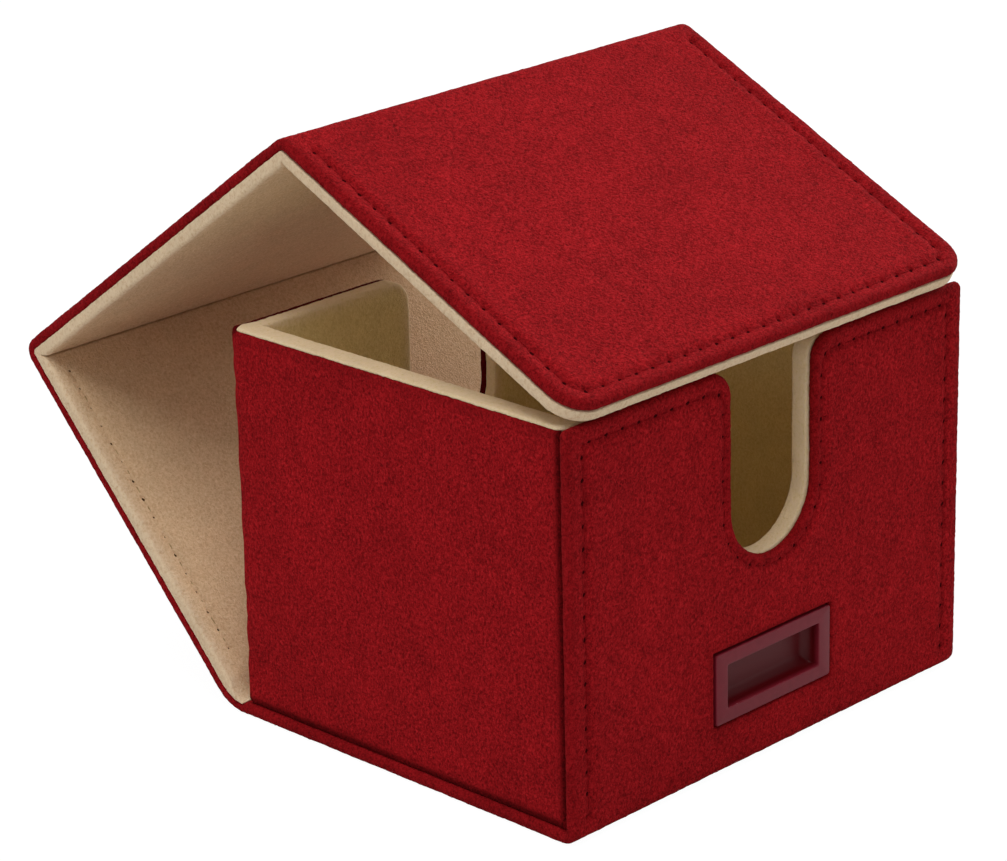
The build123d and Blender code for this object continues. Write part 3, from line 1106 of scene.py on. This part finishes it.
walls_middle = walls.at[2] + wall_x
walls_end = walls.at[-1]
half_notch = notched_edge(wall_x, RIM, 0)
front_half = half_notch[half_notch[:, 0] > -1e-9]
right_part = np.stack([front_half[:, 1], front_half[:, 0]], 1)
left_part = np.stack([front_half[:, 1], walls_end - front_half[:, 0]], 1)[::-1]
back_part = np.stack([half_notch[:, 1], walls_middle + half_notch[:, 0]], 1)
catch_z = (plate_low[2] + plate_high[2]) / 2


def catch_pocket(c, s):
    """Room for the catch in the front wall, behind the cover."""
    across = np.minimum(s, walls_end - s)
    up = np.abs(c - catch_z)
    return 2.35 * (1 - smooth_step(across, 14.6, 16.5)) * (1 - smooth_step(up, 6.2, 8.2))


rim_line = divide(polyline(right_part, back_part, left_part), 0.25, closed=False)


def walls_outer(c, s):
    """The lining's edge lies over the red one at both sides."""
    lip = 1 - smooth_step(distance_to(np.stack([c, s], 1), rim_line), 0.5, 0.8)
    ends = [(walls.at[1], walls.at[2]), (walls.at[3], walls.at[4])]
    at_sides = sum(
        smooth_step(s, a + 0.1, a + 0.9) - smooth_step(s, b - 0.9, b - 0.1) for a, b in ends
    )
    room = THICK_BACK * across_back(walls, s, 2)
    return -WALL / 2 - (SKIN - 0.05) * lip * at_sides + room


feet = [(TRAY_SILL, walls.at[k]) for k in (4, 3, 2, 1, 0)]
tray_lining = plate(
    "tray_lining",
    [polyline(*feet, right_part, back_part, left_part, (TRAY_SILL, walls_end))],
    (walls_outer, WALL / 2),
    walls_place,
    edges=((0.85, 0.3), (1.0, 0.35)),
    cut=on_cut(0.0, walls_end),
    joined_cuts=True,
    seam_wear=0.0,
    dents=(catch_pocket, plus(*[crease(walls.at[k], 0.5, 0.35) for k in (1, 2, 3, 4)])),
)
finish_piece(
    tray_lining,
    SHADE_TINTED_CREAM_SUEDE,
    "lining_suede",
    "left_board",
    "right_board",
    "front_board",
    "back_board",
    "left_lining",
    "right_lining",
    "front_lining",
    "back_lining",
)
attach(tray_lining, "box")

# ---------------------------------------------------------------- stitches
THREAD_DEPTH = 0.25  # below the panel's face, because the seam pulls it in
RED_LINE = (-COVER / 2, 1, THREAD, HOLE_SHADE, 0.5)
CREAM_LINE = (INNER, -1, CREAM_THREAD, CREAM_HOLE_SHADE, 0.3)
SEWN = (
    ("front_stitching", front_seam, "box", RED_LINE, ["front_stitching"]),
    ("back_stitching", back_seam, "back_panel", RED_LINE, ["back_panel_stitching"]),
    ("top_stitching", top_seam, "top_panel", RED_LINE, ["top_panel_stitching"]),
    ("flap_stitching", flap_seam, "flap", RED_LINE, ["flap_stitching"]),
    ("back_lining_stitching", back_inner_seam, "back_panel", CREAM_LINE, []),
    ("flap_lining_stitching", flap_inner_seam, "flap", CREAM_LINE, []),
)
for name, seam, body, (face, side, thread, hole_shade_material, deep), stood_for in SEWN:
    strands = seam.threads(name + "_strands", lid_place, face + side * THREAD_DEPTH, side)
    finish_piece(strands, thread, None)
    holes = seam.pits(name + "_holes", lid_place, face, side, deep)
    finish_piece(holes, hole_shade_material, None)
    sewn = joined("sewn_" + name, strands, holes)
    finish_piece(sewn, None, "thread", *stood_for)
    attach(sewn, body)

# ---------------------------------------------------------------- the lid pieces' transforms, baked into their meshes
DIRECTION = {
    "back": strip.angle[1:3],
    "top": strip.angle[2:4],
    "flap": strip.angle[3:5],
}


def bend(piece, fold):
    way = along(DIRECTION[fold]).sum(0)
    way /= np.hypot(*way)
    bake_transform(piece)


for piece in (cover_back, lining_back):
    bend(piece, "back")
for piece in (cover_top, lining_top):
    bend(piece, "top")
for piece in (cover_flap, lining_flap):
    bend(piece, "flap")


# ---------------------------------------------------------------- the catch
def catch_ring(half_x, half_z, r, y, rounds=3):
    """A rounded rectangle round the catch's middle, at the depth y."""
    mid_x, mid_z = (plate_low[0] + plate_high[0]) / 2, (plate_low[2] + plate_high[2]) / 2
    ring = []
    for cx, cz, a0 in ((1, 1, 0), (-1, 1, 90), (-1, -1, 180), (1, -1, 270)):
        for k in range(rounds + 1):
            a = math.radians(a0 + 90 * k / rounds)
            x = mid_x + cx * (half_x - r) + r * math.cos(a)
            ring.append((x, y, mid_z + cz * (half_z - r) + r * math.sin(a)))
    return ring


def catch_cup():
    """A flat frame with crisp edges, round a pocket whose floor sweeps up to its walls."""
    low, high = plate_low, plate_high
    frame_x, frame_z, depth, fillet, crisp = 3.1, 2.65, 3.3, 2.0, 0.16
    half_x, half_z = (high[0] - low[0]) / 2, (high[2] - low[2]) / 2
    in_x, in_z = half_x - frame_x, half_z - frame_z
    face = low[1] - 0.02
    stations = [(half_x, half_z, 0.5, face + 2.0), (half_x, half_z, 0.5, face + crisp)]
    for k in range(1, 4):
        a = math.pi / 2 * k / 3
        d = crisp * (1 - math.cos(a))
        stations.append((half_x - d, half_z - d, 0.5, face + crisp * (1 - math.sin(a))))
    stations.append((in_x + 0.4, in_z + 0.4, 0.3, face))
    for k in range(0, 4):
        a = math.pi / 2 * k / 3
        d = crisp * (1 - math.sin(a))
        stations.append((in_x + d, in_z + d, 0.3, face + crisp * (1 - math.cos(a))))
    stations.append((in_x, in_z, 0.3, face + depth - fillet))
    for k in range(1, 7):
        a = math.pi / 2 * k / 6
        d = fillet * (1 - math.cos(a))
        stations.append((in_x - d, in_z - d, 0.3, face + depth - fillet * (1 - math.sin(a))))
    stations.append((in_x - fillet - 1.0, in_z - fillet - 1.0, 0.3, face + depth))
    inside_wall = [
        (half_x, half_z, 0.5, face + 2.0),
        (in_x + 1, in_z + 1, 0.5, face + 2.0),
        (in_x + 1, in_z + 1, 0.5, face + depth + 0.8),
    ]
    xyz, polygons = [], []
    for chain in (stations, inside_wall):
        first = len(xyz)
        for station in chain:
            xyz += catch_ring(*station)
        n = (len(xyz) - first) // len(chain)
        for a in range(first, len(xyz) - n, n):
            polygons += [
                (a + j, a + (j + 1) % n, a + n + (j + 1) % n, a + n + j) for j in range(n)
            ]
        polygons.append(tuple(len(xyz) - n + j for j in range(n)))
    xyz = np.array(xyz)
    # How deep each point lies in the pocket, for the painted shade there.
    deep = np.clip((xyz[:, 1] - face - 0.3) / 0.8, 0, 1)
    made = solid("catch_frame", xyz, polygons, sharp=50, wear_and_shade=deep)
    finish_piece(made, PLASTIC, "catch_plastic", "catch_cup")
    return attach(made, "box")


catch_cup()
for node, material in (
    ("floor_board", BOARD),
    ("floor_lining", SHADE_TINTED_CREAM_SUEDE),
    ("catch_plate", STEEL),
    ("flap_magnet", STEEL),
    ("flap_keeper", PLASTIC),
):
    nodes[node].data.materials.clear()
    nodes[node].data.materials.append(material)

# ---------------------------------------------------------------- camera, light and floor
CAMERA_PLACE = (-0.47523, -0.44468, 0.29149)  # metres
CAMERA_TURN = (-45.36, 20.21, -1.35)  # azimuth, elevation and roll, in degrees
LENS = 135.41
SOFT_LIGHT = 0.35
FLOOR_GREY = (0.78, 0.78, 0.78, 1)
FLOOR_GLOW, GLOW_SHARE = 1.06, 0.92  # what the camera sees of it, beside its shadow

scene = bpy.context.scene
scene.view_settings.view_transform = "Standard"
camera = bpy.data.objects.new("camera", bpy.data.cameras.new("camera"))
scene.collection.objects.link(camera)
scene.camera = camera
camera.data.sensor_width = 36
camera.data.lens = LENS
camera.data.clip_start, camera.data.clip_end = 0.05, 20
azimuth, elevation, roll = (math.radians(x) for x in CAMERA_TURN)
behind = Vector(
    (
        math.sin(azimuth) * math.cos(elevation),
        -math.cos(azimuth) * math.cos(elevation),
        math.sin(elevation),
    )
)
right = Vector((math.cos(azimuth), math.sin(azimuth), 0))
up = behind.cross(right)
right, up = (
    right * math.cos(roll) + up * math.sin(roll),
    up * math.cos(roll) - right * math.sin(roll),
)
facing = Matrix((right, up, behind)).transposed().to_4x4()
camera.matrix_world = Matrix.Translation(CAMERA_PLACE) @ facing


def lamp(name, place, target, size, power):
    light = bpy.data.lights.new(name, "AREA")
    light.shape = "SQUARE"
    light.size = size
    light.energy = power
    made = bpy.data.objects.new(name, light)
    scene.collection.objects.link(made)
    made.location = place
    made.rotation_mode = "QUATERNION"
    made.rotation_quaternion = (Vector(target) - Vector(place)).to_track_quat("-Z", "Y")


lamp("key", (-0.36, -0.22, 1.1), (0, 0, 0.05), 0.6, 5.7)
lamp("right_light", (0.85, 0.1, 0.36), (0, 0.06, 0.06), 0.4, 6.5)
lamp("fill", (-0.9, 0.1, 0.12), (0, 0.06, 0.08), 0.5, 0.8)
lamp("back_light", (0.1, 0.9, 0.8), (0, 0, 0.05), 0.8, 0.8)


def emptied(owner):
    owner.use_nodes = True
    owner.node_tree.nodes.clear()
    return owner.node_tree


def math_node(tree, how, a, b):
    node = tree.nodes.new("ShaderNodeMath")
    node.operation = how
    tree.links.new(a, node.inputs[0])
    if isinstance(b, bpy.types.NodeSocket):
        tree.links.new(b, node.inputs[1])
    else:
        node.inputs[1].default_value = b
    return node.outputs[0]


def camera_mix(tree, factor, lit, seen, output):
    """The shader seen as far as factor says, and the shader lit for the rest."""
    choose = tree.nodes.new("ShaderNodeMixShader")
    tree.links.new(factor, choose.inputs[0])
    tree.links.new(lit.outputs[0], choose.inputs[1])
    tree.links.new(seen.outputs[0], choose.inputs[2])
    tree.links.new(choose.outputs[0], tree.nodes.new(output).inputs[0])


world = bpy.data.worlds.new("world")
scene.world = world
tree = emptied(world)
soft_light = tree.nodes.new("ShaderNodeBackground")
soft_light.inputs[0].default_value = (1, 1, 1, 1)
soft_light.inputs[1].default_value = SOFT_LIGHT
white = tree.nodes.new("ShaderNodeBackground")
white.inputs[1].default_value = 1.0
ray = tree.nodes.new("ShaderNodeLightPath").outputs
straight = math_node(tree, "MAXIMUM", ray["Is Camera Ray"], ray["Is Transmission Ray"])
camera_mix(tree, straight, soft_light, white, "ShaderNodeOutputWorld")

floor_mesh = bpy.data.meshes.new("floor")
floor_mesh.from_pydata([(-4, -4, 0), (4, -4, 0), (4, 4, 0), (-4, 4, 0)], [], [(0, 1, 2, 3)])
floor = bpy.data.objects.new("floor", floor_mesh)
scene.collection.objects.link(floor)
floor.location.z = -0.0001
pale = bpy.data.materials.new("pale_floor")
tree = emptied(pale)
matt = tree.nodes.new("ShaderNodeBsdfDiffuse")
matt.inputs[0].default_value = FLOOR_GREY
glow = tree.nodes.new("ShaderNodeEmission")
glow.inputs[1].default_value = FLOOR_GLOW
ray = tree.nodes.new("ShaderNodeLightPath").outputs
share = math_node(tree, "MULTIPLY", ray["Is Camera Ray"], GLOW_SHARE)
camera_mix(tree, share, matt, glow, "ShaderNodeOutputMaterial")
floor_mesh.materials.append(pale)
